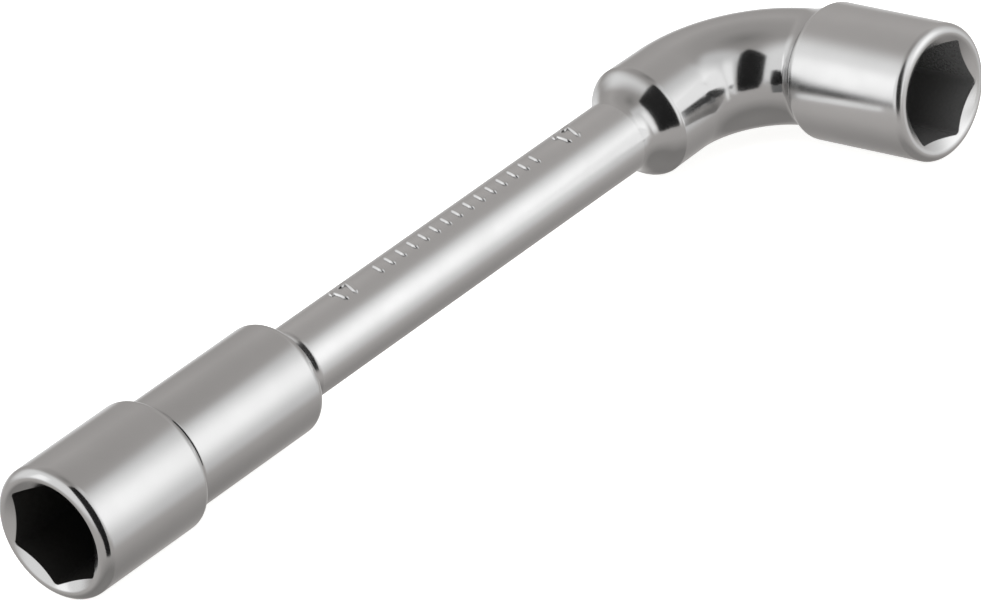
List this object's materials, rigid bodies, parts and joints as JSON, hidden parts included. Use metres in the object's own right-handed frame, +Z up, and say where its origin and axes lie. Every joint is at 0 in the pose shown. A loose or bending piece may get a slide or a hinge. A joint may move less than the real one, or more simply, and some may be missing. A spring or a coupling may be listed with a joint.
{
  "type": "l-shaped socket wrench",
  "caption": "Chromed L-shaped socket wrench: a hexagon socket in line with a round shank and a second one at right angles past a thick, through-bored elbow.",
  "frame": {"origin": "on the surface that the wrench lies on, under the middle of its outline", "axes": "+X along the shank from the straight socket to the elbow, the angled socket opens towards -Y, +Z up"},
  "size_m": [0.1986, 0.0582, 0.0248],
  "materials": {
    "chromed_steel": "satin chrome plate"
  },
  "bodies": {
    "root": {"straight_socket": "chromed_steel", "straight_barrel": "chromed_steel", "shank": "chromed_steel", "shoulder_collar": "chromed_steel", "elbow": "chromed_steel", "angled_socket": "chromed_steel"}
  },
  "joints": []
}
